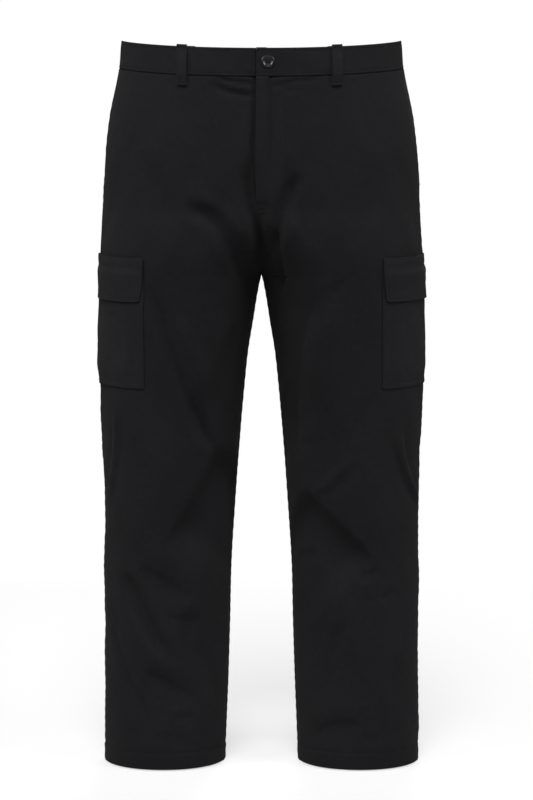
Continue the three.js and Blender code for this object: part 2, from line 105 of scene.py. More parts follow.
@functools.lru_cache(maxsize=None)
def ring(drop):
    """One leg's level section: arcs from the back inseam to the front one, x and y."""
    outer, inner, front, back, seam_y, square = (
        curve_at(SECTIONS, SECTION_COLUMNS.index(name), drop) for name in SECTION_COLUMNS[1:]
    )
    centre, reach = (outer + inner) / 2, (outer - inner) / 2
    angle = np.linspace(0, math.pi, RING_STEPS + 1)
    halves = {}
    for name, depth in (("front", front), ("back", back)):
        across = np.abs(np.cos(angle) / reach) ** square
        along = np.abs(np.sin(angle) / depth) ** square
        radius = (across + along) ** (-1 / square)
        x, y = centre + radius * np.cos(angle), radius * np.sin(angle)
        arcs = np.concatenate([[0], np.cumsum(np.hypot(np.diff(x), np.diff(y)))])
        halves[name] = (x, y, arcs)
    fx, fy, fa = halves["front"]
    bx, by, ba = halves["back"]
    return {
        "arcs": np.concatenate([-ba[::-1], fa[1:]]),
        "x": np.concatenate([bx[::-1], fx[1:]]),
        "y": np.concatenate([by[::-1], -fy[1:]]),
        "front": front, "back": back, "seam_y": seam_y, "inner": inner,
        "front_length": fa[-1], "back_length": ba[-1],
    }


def arc_at_x(drop, is_front, x):
    """The arc at which a section comes to a distance from the centre plane, or its inseam."""
    this = ring(float(drop))
    half = slice(RING_STEPS, None) if is_front else slice(RING_STEPS, None, -1)
    xs, arcs = this["x"][half], np.abs(this["arcs"][half])
    inseam = arcs[-1] - SEAM_GAP / 2
    if this["inner"] >= x:
        return inseam
    return min(inseam, float(np.interp(-x, -xs, arcs)))


def plain_form(arc, drop):
    """Points of the smooth form without folds, in mm, on the wearer's left side."""
    points = np.empty((len(arc), 3))
    levels, where = np.unique(np.round(drop, 2), return_inverse=True)
    order = np.argsort(where, kind="stable")
    bounds = np.searchsorted(where[order], np.arange(len(levels) + 1))
    for k, level in enumerate(levels):
        here = order[bounds[k]:bounds[k + 1]]
        this = ring(float(level))
        round_leg = this["front_length"] + this["back_length"]
        a = arc[here]
        a = np.where(a > this["front_length"], a - round_leg, a)
        a = np.where(a < -this["back_length"], a + round_leg, a)
        x, y = np.interp(a, this["arcs"], this["x"]), np.interp(a, this["arcs"], this["y"])
        level_share = smooth((CROTCH_DROP - level) / (CROTCH_DROP - DIP_FADE_START))
        dip = np.where(y < 0, FRONT_DIP * np.abs(y / this["front"]) ** 1.4,
                       BACK_DIP * np.abs(y / this["back"]) ** 1.4)
        points[here, 0] = x
        points[here, 1] = y + this["seam_y"]
        points[here, 2] = TOP_Z - level - dip * level_share
    return points


# Each fold runs through three points. Its row gives its side, their arcs and drops, its width
# and height, its softness below the line and its share of ledge. Side 1 is the wearer's left
# leg, an arc under 0 is on the back and a height over 0 is a ridge. A ledge falls away at
# once below its line and comes back slowly; one under 0 does so above the line.
FOLDS = np.array([
    [-1, 198, 232, 266, 268, 311, 366, 14, -10, 1.2, 0.3],
    [1, 303, 262, 301, 316, 300, 380, 10, -6, 1.2, 0],
    [-1, 153, 344, 187, 462, 217, 604, 14, -8.5, 1.2, -0.1],
    [1, 212, 348, 257, 470, 244, 640, 18, -9, 1.2, -0.6],
    [-1, 240, 584, 197, 656, 136, 742, 29, -14, 1, 1],
    [-1, 101, 765, 146, 787, 189, 824, 20, -5.5, 1, 0.8],
    [-1, 74, 776, 104, 842, 146, 930, 14, -9, 1.2, 0],
    [-1, 94, 930, 139, 941, 188, 980, 17, -5.5, 1, 0.8],
    [-1, 130, 844, 163, 846, 196, 855, 15, -5, 1, 0.7],
    [1, 240, 650, 176, 702, 106, 772, 29, -14, 1, 1],
    [1, 97, 556, 74, 630, 16, 690, 9, 6.5, 1, 0],
    [1, 5, 837, 54, 879, 74, 928, 9, 2.6, 1, 0],
    [1, 214, 1034, 165, 1007, 118, 1014, 16, -5.5, 1, 0.8],
    [-1, 214, 42, 244, 48, 284, 51, 4.5, -3, 1, 0],
    [-1, 208, 47, 242, 61, 286, 66, 5.5, -4.6, 1.3, 0.3],
    [1, 270, 56, 250, 51, 230, 47, 4.5, -2.6, 1, 0],
    [1, 264, 63, 249, 59, 226, 56, 4.5, -2, 1, 0],
    [1, 242, 46, 218, 46, 192, 43, 4.5, -1.8, 1, 0],
    [-1, 279, 62, 294, 147, 300, 232, 5, -1.4, 1, 0],
    [1, 256, 176, 288, 242, 318, 322, 12, -8, 1.3, 0],
    [-1, 46, 862, 68, 928, 104, 1004, 8, -5, 1.2, 0],
    [-1, 138, 1005, 157, 1003, 178, 1006, 9, -2, 1.3, 0.3],
    [-1, 80, 525, 73, 600, 40, 687, 9, 4, 1, 0],
    [-1, 34, 817, 47, 847, 60, 878, 7, 3.2, 1, 0],
    [-1, 205, 500, 216, 550, 230, 606, 8, -3.6, 1, 0],
    [-1, 194, 609, 210, 607, 228, 611, 9, -0.9, 1.4, 0],
    [-1, 288, 400, 268, 474, 236, 556, 18, -4, 1.1, 0],
    [1, 255, 766, 230, 760, 205, 755, 9, -1.4, 1.4, 0],
    [1, 143, 790, 123, 784, 101, 778, 10, -2, 1.3, 0],
    [1, 107, 824, 95, 818, 80, 806, 9, -1.8, 1.3, 0],
    [1, 56, 850, 71, 920, 88, 990, 9, -3.2, 1, 0],
    [1, 261, 206, 267, 232, 271, 262, 8, -2, 1, 0],
    [1, 204, 342, 207, 354, 212, 368, 7, -2.2, 1, 0],
    [1, 251, 596, 230, 588, 206, 586, 14, -1.6, 1.4, 0],
    [-1, 200, 395, 214, 450, 232, 520, 14, 2.6, 1, 0],
    [1, 170, 600, 190, 640, 224, 660, 12, 2.4, 1, 0],
    [-1, 190, 890, 205, 940, 214, 1000, 12, -2, 1, 0],
    [1, 150, 850, 172, 905, 180, 975, 12, -2.2, 1, 0],
    [-1, 60, 1040, 100, 1030, 150, 1046, 12, -0.9, 1, 0],
    [1, 60, 1022, 100, 1036, 140, 1030, 12, -0.9, 1, 0],
    [-1, 120, 150, 160, 210, 176, 290, 20, -1.2, 1, 0],
    [1, 110, 160, 150, 225, 168, 300, 20, -1, 1, 0],
    [-1, -60, 600, -130, 668, -205, 700, 14, -7, 1.6, 0],
    [-1, -70, 735, -140, 742, -215, 722, 12, -6, 1.6, 0],
    [-1, -50, 850, -120, 905, -200, 930, 12, -5, 1.5, 0],
    [-1, -110, 402, -190, 385, -275, 362, 16, -7, 1.5, 0],
    [1, -55, 620, -125, 672, -215, 690, 14, -7, 1.6, 0],
    [1, -80, 752, -150, 748, -210, 735, 12, -6, 1.6, 0],
    [1, -45, 880, -115, 912, -195, 950, 12, -5, 1.5, 0],
    [1, -112, 392, -188, 392, -270, 368, 16, -7, 1.5, 0],
    [-1, -96, 640, -150, 652, -190, 640, 9, -3, 1.3, 0],
    [-1, -60, 690, -110, 712, -160, 706, 9, -3.2, 1.3, 0],
    [-1, -120, 775, -165, 800, -220, 806, 9, -2.6, 1.3, 0],
    [-1, -40, 960, -90, 985, -150, 1010, 9, -2.6, 1.3, 0],
    [1, -90, 655, -140, 640, -185, 652, 9, -3, 1.3, 0],
    [1, -70, 705, -120, 716, -170, 700, 9, -3, 1.3, 0],
    [1, -110, 790, -160, 812, -215, 800, 9, -2.6, 1.3, 0],
    [1, -60, 975, -110, 1000, -170, 1008, 9, -2.4, 1.3, 0],
    [-1, -200, 300, -240, 322, -290, 318, 12, -3.4, 1.3, 0],
    [1, -205, 306, -245, 320, -288, 310, 12, -3.2, 1.3, 0],
    [-1, -150, 420, -170, 500, -160, 580, 15, -3, 1, 0],
    [1, -160, 430, -178, 505, -168, 590, 15, -2.8, 1, 0],
    [-1, -230, 120, -262, 190, -270, 262, 18, -2, 1, 0],
    [1, -226, 126, -258, 196, -268, 258, 18, -2, 1, 0],
])
FOLD_STEPS = 14
FOLD_RIM = 1.2
FOLD_TAPER = 0.26
LEDGE_LIP = 0.14
SEAM_FADE = 22

# The cloth in front of the crotch hangs fuller than the plain form.
THIGH_FILL = 16
FILL_START = 220
FILL_END = 640

# Soft unevenness of cloth that hangs free: wave lengths along the arc and the drop, start
# and height of each, in mm. Sewing puckers the cloth a little beside the seams.
SWELLS = [(96, 240, 0.4, 0.5), (-150, 170, 1.9, 0.45), (61, 118, 3.1, 0.28), (-74, 77, 5.0, 0.22),
          (43, 58, 2.2, 0.13), (-37, 49, 0.9, 0.11), (29, -34, 4.1, 0.07)]
PUCKER = 0.28
PUCKER_PITCH = 15
PUCKER_REACH = 9


def fold_paths():
    paths = []
    for side, arc_a, drop_a, arc_b, drop_b, arc_c, drop_c, width, height, softness, ledge in FOLDS:
        t = np.linspace(0, 1, FOLD_STEPS + 1)
        a, b, c = (1 - t) * (1 - 2 * t), 4 * t * (1 - t), t * (2 * t - 1)
        line = np.stack([a * arc_a + b * arc_b + c * arc_c,
                         a * drop_a + b * drop_b + c * drop_c], 1)
        onward = 1 if arc_c > arc_a else -1
        paths.append((side, width, softness, ledge, onward, height, line))
    return paths


FOLD_PATHS = fold_paths()


def fold_height(side, arc, drop):
    """Height of the folds and the soft unevenness over the plain form, in mm."""
    height = np.zeros(len(arc))
    for fold_side, width, softness, ledge, onward, fold, line in FOLD_PATHS:
        if fold_side != side:
            continue
        reach = (3 * softness + 2 * abs(ledge)) * width
        near = (arc > line[:, 0].min() - reach) & (arc < line[:, 0].max() + reach)
        near &= (drop > line[:, 1].min() - reach) & (drop < line[:, 1].max() + reach)
        if not near.any():
            continue
        at = np.stack([arc[near], drop[near]], 1)
        nearest, place = np.full(len(at), np.inf), np.zeros(len(at))
        below = np.zeros(len(at), bool)
        for i in range(FOLD_STEPS):
            run = line[i + 1] - line[i]
            t = np.clip((at - line[i]) @ run / (run @ run), 0, 1)
            off = at - line[i] - t[:, None] * run
            away = np.linalg.norm(off, axis=1)
            closer = away < nearest
            nearest[closer], place[closer] = away[closer], (i + t[closer]) / FOLD_STEPS
            turn = onward * (run[0] * off[:, 1] - run[1] * off[:, 0])
            below[closer] = turn[closer] > 0
        q = (nearest / width / np.where(below, softness, 1)) ** 2
        trough = (1 - FOLD_RIM * q) * np.exp(-q)
        down = nearest / width
        fall = down * np.exp(1 - down) * np.where(below == (ledge >= 0), 1, -LEDGE_LIP)
        taper = smooth(np.minimum(place, 1 - place) / FOLD_TAPER)
        height[near] += fold * taper * ((1 - abs(ledge)) * trough + abs(ledge) * fall)
    free = smooth((drop - 70) / 90) * smooth((SIDE_LENGTH - drop) / 40)
    for across, down, start, swell in SWELLS:
        height += swell * free * np.sin(2 * math.pi * (arc / across + drop / down) + start * side)
    to_centre = edge_arcs(arc, drop) - np.abs(arc)
    height *= smooth(to_centre / SEAM_FADE)
    pucker = np.sin(2 * math.pi * drop / PUCKER_PITCH + 2 * np.sin(drop / 31 + side))
    beside = np.exp(-((arc / PUCKER_REACH) ** 2)) + np.exp(-((to_centre / PUCKER_REACH) ** 2))
    return height + PUCKER * pucker * beside * smooth((drop - 60) / 60)


def edge_arcs(arc, drop):
    """The arc of the centre seam or the inseam beside each point."""
    levels, where = np.unique(np.round(drop), return_inverse=True)
    table = np.array([[arc_at_x(d, False, 0), arc_at_x(d, True, 0)] for d in levels])
    return table[where, (arc >= 0).astype(int)]


# The left front laps over the right one along the fly, then the seam swings to the centre.
# Both fronts are drawn in beside the seam below the fly, deeper and narrower near the crotch.
LAPS = np.array([[0, 7], [60, 7.5], [150, 9], [225, 8], [262, 3], [290, 0]])
GROOVE_START = 150
GROOVE_END = 354
RIGHT_OFF_SEAM = ([200, 250, 305], [-11, -6, 0])
RIGHT_DEPTH = ([245, 310], [11, 19])
RIGHT_WIDTH = ([245, 300], [7.5, 6])
LEFT_DEPTH = ([245, 310], [4, 17])
LEFT_WIDTH = ([245, 300], [7.5, 4.5])


def lap_at(drop):
    return np.interp(drop, LAPS[:, 0], LAPS[:, 1])


def rise_groove(side, across, drop):
    """How far both fronts are drawn in along the seam below the fly."""
    from_seam = side * across + lap_at(drop)
    off = (from_seam - np.interp(drop, *RIGHT_OFF_SEAM)) / np.interp(drop, *RIGHT_WIDTH)
    right = np.interp(drop, *RIGHT_DEPTH) * np.exp(-(off ** 2))
    left = np.interp(drop, *LEFT_DEPTH) * np.exp(-((from_seam / np.interp(drop, *LEFT_WIDTH)) ** 2))
    ends = smooth((drop - GROOVE_START) / 70) * smooth((GROOVE_END - drop) / 9)
    return np.maximum(left, right) * ends


def folded_form(side, arc, drop):
    points = plain_form(arc, drop)
    before, after = plain_form(arc - 2, drop), plain_form(arc + 2, drop)
    out = np.stack([before[:, 1] - after[:, 1], after[:, 0] - before[:, 0]], 1)
    out /= np.linalg.norm(out, axis=1)[:, None]
    points[:, :2] += out * fold_height(side, arc, drop)[:, None]
    level = smooth((drop - FILL_START) / 140) * smooth((FILL_END - drop) / 230)
    fill = level * smooth(-points[:, 1] / 90) * smooth((210 - points[:, 0]) / 150)
    points[:, 1] -= THIGH_FILL * fill
    points[:, 1] += rise_groove(side, points[:, 0], drop) * smooth(-points[:, 1] / 40)
    return points


def cloth(side, arc, drop, out=0.0):
    """Points of the cloth moved out by a distance, and the way out there, in metres."""
    arc, drop = np.atleast_1d(arc).astype(float), np.atleast_1d(drop).astype(float)
    points = folded_form(side, arc, drop)
    along = folded_form(side, arc + 2, drop) - folded_form(side, arc - 2, drop)
    down = folded_form(side, arc, drop + 2) - folded_form(side, arc, drop - 2)
    normal = np.cross(along, down)
    normal /= np.linalg.norm(normal, axis=1)[:, None]
    points = (points + normal * np.reshape(out, (-1, 1))) * MM
    mirror = np.array([side, 1, 1])
    return points * mirror, normal * mirror


def mesh_from(name, bm):
    mesh = bpy.data.meshes.new(name)
    bm.to_mesh(mesh)
    bm.free()
    return mesh


def put_in_scene(name, data):
    holder = bpy.data.objects.new(name, data)
    bpy.context.scene.collection.objects.link(holder)
    return holder


def lay_shell(name, side, columns, rows, lay, thickness, bevel=0.0, crosses=True):
    """A cloth shell. lay gives each grid point's arc, drop and height over the plain cloth."""
    bm = bmesh.new()
    bmesh.ops.create_grid(bm, x_segments=columns, y_segments=rows, size=0.5)
    if side > 0:
        bmesh.ops.reverse_faces(bm, faces=bm.faces)
    cut = bm.loops.layers.uv.new("cut")
    for face in bm.faces:
        for loop in face.loops:
            loop[cut].uv = loop.vert.co.xy
    mesh = mesh_from(name, bm)
    flat = np.empty(len(mesh.vertices) * 3)
    mesh.vertices.foreach_get("co", flat)
    column = np.rint((flat[0::3] + 0.5) * columns).astype(int)
    row = np.rint((0.5 - flat[1::3]) * rows).astype(int)
    arc, drop, out = lay(column, row)
    points, _ = cloth(side, arc, drop, out)
    if not crosses:
        limit = centre_limit(side, arc, drop) * MM
        points[:, 0] = side * np.maximum(side * points[:, 0], limit)
    mesh.vertices.foreach_set("co", points.ravel())
    corners = np.empty(len(mesh.loops), dtype=np.int32)
    mesh.loops.foreach_get("vertex_index", corners)
    uv = np.stack([arc[corners] * MM, -drop[corners] * MM], 1)
    mesh.uv_layers["cut"].uv.foreach_set("vector", uv.ravel())
    mesh.shade_smooth()
    piece = put_in_scene(name, mesh)
    wall = piece.modifiers.new("cloth", "SOLIDIFY")
    wall.thickness = thickness * MM
    wall.offset = -1
    wall.use_even_offset = False
    if bevel:
        edge = piece.modifiers.new("turned edge", "BEVEL")
        edge.width = bevel * MM
        edge.segments = 2
        edge.limit_method = "ANGLE"
        edge.angle_limit = math.radians(50)
    return piece


FLY_END = 236
LAP_RELIEF = 2.5
LAP_DIP = 3.6
LAP_DIP_WIDTH = 5.5
BULK_WIDTH = 18
BULK_GROOVE = 2.4


def centre_limit(side, arc, drop):
    """How near the centre plane a panel may come: the left front reaches past it."""
    return np.where(arc < 0, SEAM_GAP / 2, SEAM_GAP / 2 - side * lap_at(drop))


def fly_relief(from_edge, drop):
    """Height of the lapped front over the closure, by the distance from its edge."""
    raised = LAP_RELIEF * smooth((BULK_WIDTH - from_edge) / 5 + 0.5)
    groove = BULK_GROOVE * np.exp(-(((from_edge - BULK_WIDTH - 3) / 2.4) ** 2))
    return (raised - groove * smooth((190 - drop) / 90)) * smooth((FLY_END - drop) / 20)


def lap_dip(from_edge, drop):
    """How far the right front dips under the edge of the lapped one."""
    return -LAP_DIP * np.exp(-((from_edge / LAP_DIP_WIDTH) ** 2)) * smooth((FLY_END - drop) / 20)


def edge_spaced(length, count, ends=(0, 0.7, 1.6, 3.0, 5.2)):
    """Shares of a length with fine steps at both ends, where a seam rolls in."""
    ends = np.array(ends)
    middle = np.linspace(ends[-1], length - ends[-1], count - 2 * len(ends) + 3)
    return np.concatenate([ends, middle[1:-1], length - ends[::-1]])


# Each panel rolls in beside its seams, hardly so where the rise runs through the hollow of
# the crotch, and its top is tucked in behind the band.
SEAM_ROLL = 0.9
SEAM_ROLL_WIDTH = 1.5
ROLL_LOST = 0.85
BAND_TUCK = 1.6
HEM_HEIGHT = 25
HEM_TOP = SIDE_LENGTH - HEM_HEIGHT
HEM_PROUD = 0.45
HEM_GROOVE = 0.5
HEM_CORNER = 4
HEM_CORNER_WIDTH = 12
PANEL_COLUMNS = 84
TUCKED = 1.8
PANEL_DROPS = np.concatenate([
    BAND_HEIGHT + 0.15 + np.array([-TUCKED, -0.4, 0.7, 1.6, 3.0]),
    np.linspace(46, 232, 46), np.linspace(236, 334, 28), np.linspace(336.5, 352, 9),
    np.linspace(356, 1050, 164), np.linspace(1052, 1064, 9), np.linspace(1067, 1083, 7),
])
PANELS = {"front_left": (1, True), "front_right": (-1, True),
          "back_left": (1, False), "back_right": (-1, False)}


def lay_panel(side, is_front):
    beside_lap = fly_relief if side > 0 else lap_dip

    def lay(column, row):
        drop = PANEL_DROPS[row]
        arc, out = np.empty(len(column)), np.empty(len(column))
        ends = np.empty(len(PANEL_DROPS))
        for k, level in enumerate(PANEL_DROPS):
            here = row == k
            x = SEAM_GAP / 2 - (side * lap_at(level) if is_front else 0)
            end = ends[k] = arc_at_x(level, is_front, x)
            places = edge_spaced(end - SEAM_GAP / 2, PANEL_COLUMNS) + SEAM_GAP / 2
            arc[here] = places[column[here]]
            centre_edge = end - arc[here]
            roll = np.exp(-((arc[here] / SEAM_ROLL_WIDTH) ** 2))
            lapped = is_front and level < FLY_END
            if not lapped:
                kept = 1 - ROLL_LOST * smooth((level - 200) / 40) * (level < CROTCH_DROP)
                roll += kept * np.exp(-((centre_edge / SEAM_ROLL_WIDTH) ** 2))
            out[here] = -SEAM_ROLL * roll
            if lapped:
                out[here] += beside_lap(centre_edge, level)
        under_band = np.maximum(drop - BAND_HEIGHT, 0)
        out -= SEAM_ROLL * np.exp(-((under_band / SEAM_ROLL_WIDTH) ** 2))
        out -= BAND_TUCK * smooth((BAND_HEIGHT - drop) / TUCKED + 0.4)
        out += HEM_PROUD * smooth((drop - HEM_TOP) / 2.5)
        out -= HEM_GROOVE * np.exp(-(((drop - HEM_TOP) / 2) ** 2))
        to_seam = np.minimum(arc, np.take(ends, row) - arc)
        corner = smooth((drop - 1040) / 43) * np.exp(-((to_seam / HEM_CORNER_WIDTH) ** 2))
        return (arc if is_front else -arc), drop + HEM_CORNER * corner, out
    return lay


def weave_group():
    """Twill: fine slanting ribs on the cloth's own cut, with soft uneven wear in its colour."""
    group = bpy.data.node_groups.new("twill weave", "ShaderNodeTree")
    for name, kind in (("Shade", "Color"), ("Rib", "Float"), ("Wear", "Float")):
        group.interface.new_socket(name, in_out="INPUT", socket_type="NodeSocket" + kind)
    for name, kind in (("Color", "Color"), ("Height", "Float"), ("Roughness", "Float")):
        group.interface.new_socket(name, in_out="OUTPUT", socket_type="NodeSocket" + kind)
    nodes, link = group.nodes, group.links.new
    given, result = nodes.new("NodeGroupInput"), nodes.new("NodeGroupOutput")
    cut = nodes.new("ShaderNodeUVMap")
    cut.uv_map = "cut"
    apart = nodes.new("ShaderNodeSeparateXYZ")
    link(cut.outputs["UV"], apart.inputs["Vector"])

    def math_node(kind, a, b=0.0):
        node = nodes.new("ShaderNodeMath")
        node.operation = kind
        for socket, value in zip(node.inputs, (a, b)):
            if isinstance(value, (int, float)):
                socket.default_value = value
            else:
                link(value, socket)
        return node.outputs[0]

    def plus(a, b):
        return math_node("ADD", a, b)

    def times(a, b):
        return math_node("MULTIPLY", a, b)

    def noise(scale, detail):
        node = nodes.new("ShaderNodeTexNoise")
        node.inputs["Scale"].default_value = scale
        node.inputs["Detail"].default_value = detail
        link(cut.outputs["UV"], node.inputs["Vector"])
        return node.outputs["Fac"]

    # The ribs climb at about 63 degrees, one each rib spacing in millimetres.
    slant = plus(apart.outputs["X"], times(apart.outputs["Y"], 0.5))
    rib = math_node("SINE", math_node("DIVIDE", times(slant, 2000 * math.pi), given.outputs["Rib"]))
    yarn, slub, rub = noise(900, 2), noise(130, 3), noise(9, 4)
    grain = plus(times(rib, 0.5), times(yarn, 0.7))
    light = plus(times(grain, 0.35), times(slub, 0.5))
    light = plus(light, times(times(rub, 2), given.outputs["Wear"]))
    lifted = plus(light, 0.35)
    grey = nodes.new("ShaderNodeCombineColor")
    for channel in ("Red", "Green", "Blue"):
        link(lifted, grey.inputs[channel])
    brighten = nodes.new("ShaderNodeMix")
    brighten.data_type = "RGBA"
    brighten.blend_type = "MULTIPLY"
    brighten.inputs["Factor"].default_value = 1
    link(given.outputs["Shade"], brighten.inputs["A"])
    link(grey.outputs["Color"], brighten.inputs["B"])
    link(brighten.outputs["Result"], result.inputs["Color"])
    link(plus(grain, times(slub, 0.8)), result.inputs["Height"])
    link(plus(times(slub, -0.12), 0.96), result.inputs["Roughness"])
    return group


TWILL = weave_group()


def new_material(name, specular):
    material = bpy.data.materials.new(name)
    material.use_nodes = True
    nodes, link = material.node_tree.nodes, material.node_tree.links.new
    surface = nodes["Principled BSDF"]
    surface.inputs["Specular IOR Level"].default_value = specular
    return material, surface, nodes, link


def twill_material(name, shade, rib=1.1, wear=0.25, relief=0.35):
    material, surface, nodes, link = new_material(name, 0.06)
    surface.inputs["Sheen Weight"].default_value = 0.02
    surface.inputs["Sheen Roughness"].default_value = 0.6
    weave = nodes.new("ShaderNodeGroup")
    weave.node_tree = TWILL
    weave.inputs["Shade"].default_value = (*shade, 1)
    weave.inputs["Rib"].default_value = rib
    weave.inputs["Wear"].default_value = wear
    bump = nodes.new("ShaderNodeBump")
    bump.inputs["Strength"].default_value = relief
    bump.inputs["Distance"].default_value = 0.0003
    link(weave.outputs["Height"], bump.inputs["Height"])
    link(weave.outputs["Color"], surface.inputs["Base Color"])
    link(weave.outputs["Roughness"], surface.inputs["Roughness"])
    link(bump.outputs["Normal"], surface.inputs["Normal"])
    return material


def dress(piece, twill, node):
    """Give a cloth piece its twill, its body and the solid that it stands for."""
    piece.data.materials.append(twill)
    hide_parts(node)
    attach(piece, "root")


PANEL_TWILL = twill_material("black panel twill", (0.0105, 0.0105, 0.0118))
for name, (side, is_front) in PANELS.items():
    piece = lay_shell(f"{name}_cloth", side, PANEL_COLUMNS, len(PANEL_DROPS) - 1,
                      lay_panel(side, is_front), CLOTH, crosses=False)
    dress(piece, PANEL_TWILL, name)

# Sewing thread
# Black polyester topstitching, about 3 mm a stitch. Every row is real short stitches that
# lie on the cloth, each one a little rod with round ends that dips into it.
STITCH_PITCH = 3.3
STITCH_LENGTH = 2.6
STITCH_THICK = 0.55
THREAD_LIFT = 0.12
TACK_PITCH = 0.8
TACK_THICK = 0.7


def walk_line(side, line, out):
    """Places a stitch apart along a line of arcs and drops: where, the way on and the way out."""
    line = np.array(line, float)
    spans = np.concatenate([[0], np.cumsum(np.linalg.norm(np.diff(line, axis=0), axis=1))])
    count = max(2, int(round(spans[-1] / STITCH_PITCH)))
    middles = (np.arange(count) + 0.5) * spans[-1] / count

    def at(distance):
        arc, drop = (np.interp(distance, spans, line[:, k]) for k in (0, 1))
        height = out(arc, drop) if callable(out) else np.full(count, out)
        return cloth(side, arc, drop, height)

    here, up = at(middles)
    onward = at(middles + 0.5)[0] - at(middles - 0.5)[0]
    return here, onward / np.linalg.norm(onward, axis=1)[:, None], up


def add_stitch(bm, at, onward, up, length, thick):
    across = np.cross(up, onward)
    across /= np.linalg.norm(across)
    lift = np.cross(onward, across)
    turn = Matrix((onward, across, lift)).transposed().to_4x4()
    size = Matrix.Diagonal((length * MM / 2, thick * MM / 2, thick * MM / 2, 1))
    place = Matrix.Translation(at) @ turn @ size
    bmesh.ops.create_icosphere(bm, subdivisions=1, radius=1, matrix=place)


def speckled_material(name, specular, grain, tones, roughness):
    """Plain black whose colour and roughness vary with a fine grain."""
    material, surface, nodes, link = new_material(name, specular)
    where = nodes.new("ShaderNodeTexCoord")
    speckle = nodes.new("ShaderNodeTexNoise")
    speckle.inputs["Scale"].default_value = grain
    link(where.outputs["Object"], speckle.inputs["Vector"])
    for socket, (low, high) in (("Base Color", tones), ("Roughness", roughness)):
        level = nodes.new("ShaderNodeMapRange")
        level.inputs["To Min"].default_value = low
        level.inputs["To Max"].default_value = high
        link(speckle.outputs["Fac"], level.inputs["Value"])
        link(level.outputs["Result"], surface.inputs[socket])
    return material


THREAD = speckled_material("black sewing thread", 0.12, 1500, (0.006, 0.014), (0.5, 0.7))


def thread_on(height_at, side):
    """The height of thread that lies on a piece's own outer face."""
    def height(arc, drop):
        return height_at(side, arc, drop) + THREAD_LIFT
    return height


def thread_piece(name, bm):
    mesh = mesh_from(name, bm)
    mesh.shade_smooth()
    mesh.materials.append(THREAD)
    piece = put_in_scene(name, mesh)
    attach(piece, "root")


def sew(name, rows):
    """Rows of stitches as one piece. A row is a side, a line of arcs and drops, and a height."""
    bm = bmesh.new()
    for side, line, out in rows:
        for at, onward, up in zip(*walk_line(side, line, out)):
            add_stitch(bm, at, onward, up, STITCH_LENGTH, STITCH_THICK)
    thread_piece(name, bm)


def bar_tack(side, arc, drop, out, width=9):
    """A dense bar of upright stitches side by side, as lines for tack."""
    lines = []
    for k in range(int(width / TACK_PITCH) + 1):
        place = arc - width / 2 + k * TACK_PITCH
        lines.append((side, [(place, drop - 0.9), (place + 0.3, drop + 0.9)], out))
    return lines


def tack(name, bars):
    """Bars of dense stitches as one piece."""
    bm = bmesh.new()
    for side, line, out in bars:
        line = np.array(line, float)
        ends, ups = cloth(side, line[:, 0], line[:, 1], out)
        onward = ends[-1] - ends[0]
        length = np.linalg.norm(onward)
        add_stitch(bm, ends.mean(0), onward / length, ups[0], length / MM + 0.6, TACK_THICK)
    thread_piece(name, bm)


HEM_ROW = HEM_TOP + 0.8
hem_rows = []
for side in (1, -1):
    for end in (255, -258):
        hem_rows.append((side, [(a, HEM_ROW) for a in np.linspace(0, end, 40)], 0.1))
sew("hem_stitches", hem_rows)

# Fly
# The left front laps over the right one and is topstitched down in a J, with bar tacks at
# its foot. The underlap is a doubled strip that lies behind it.
UNDERLAP_GAP = 0.8
UNDERLAP_CLOTH = 1.6
UNDERLAP_LEFT_X = 36
UNDERLAP_RIGHT_X = -20
UNDERLAP_FOOT = 225
J_X = 34
J_FOOT = [(278, 214), (284, 229), (291, 240), (302, 256), (314, 272)]


def lay_underlap(column, row):
    drop = np.linspace(BAND_HEIGHT + 0.15, UNDERLAP_FOOT, 41)[row]
    arc = np.empty(len(column))
    for level in np.unique(drop):
        here = drop == level
        ends = [arc_at_x(level, True, x) for x in (UNDERLAP_LEFT_X, UNDERLAP_RIGHT_X)]
        arc[here] = np.interp(column[here], [0, 24], ends)
    return arc, drop, -CLOTH - UNDERLAP_GAP - LAP_DIP * smooth(column / 16)


UNDER_TWILL = twill_material("black twill, inside", (0.009, 0.009, 0.01))
underlap = lay_shell("fly_underlap_cloth", 1, 24, 40, lay_underlap, UNDERLAP_CLOTH)
dress(underlap, UNDER_TWILL, "fly_underlap")


def on_lapped_front(arc, drop):
    """The stitches' height on the lapped front, which stands proud near its edge."""
    edge = np.array([arc_at_x(d, True, SEAM_GAP / 2 - lap_at(d)) for d in drop])
    return fly_relief(edge - arc, drop) + THREAD_LIFT


j_line = [(arc_at_x(d, True, J_X), d) for d in np.linspace(41, 205, 24)] + J_FOOT
sew("fly_stitches", [(1, j_line, on_lapped_front)])
fly_tacks = bar_tack(1, arc_at_x(236, True, 0), 236, 0.5, width=12)
fly_tacks += bar_tack(1, arc_at_x(243, True, 1), 243, 0.2, width=10)
tack("fly_bar_tacks", fly_tacks)

# Waistband
# Two halves of doubled, interfaced twill with a turned top edge, joined at the centre back.
# The left end laps over the right one and carries the buttonhole.
BAND_PROUD = 0.6
BAND_CLOTH = 2.6
BAND_ROUND = 0.9
BAND_RIM = 1.4
BAND_MIDDLE = 20.0
BAND_UNDERLAP_X = 28
BAND_UNDERLAP_GAP = 0.5
BAND_DROPS = np.array([0, 0.5, 1.3, 2.5, 4.2, 6, 9, 13, 17, 21, 25, 29, 32, 34.2, 35.8, 37.4,
                       38.7, 39.5, 39.85])
BAND_COLUMNS = 120
BAND_SEWN = 4.2
BAND_LIFT = {1: (1.1, 26), -1: (-1.1, 5)}


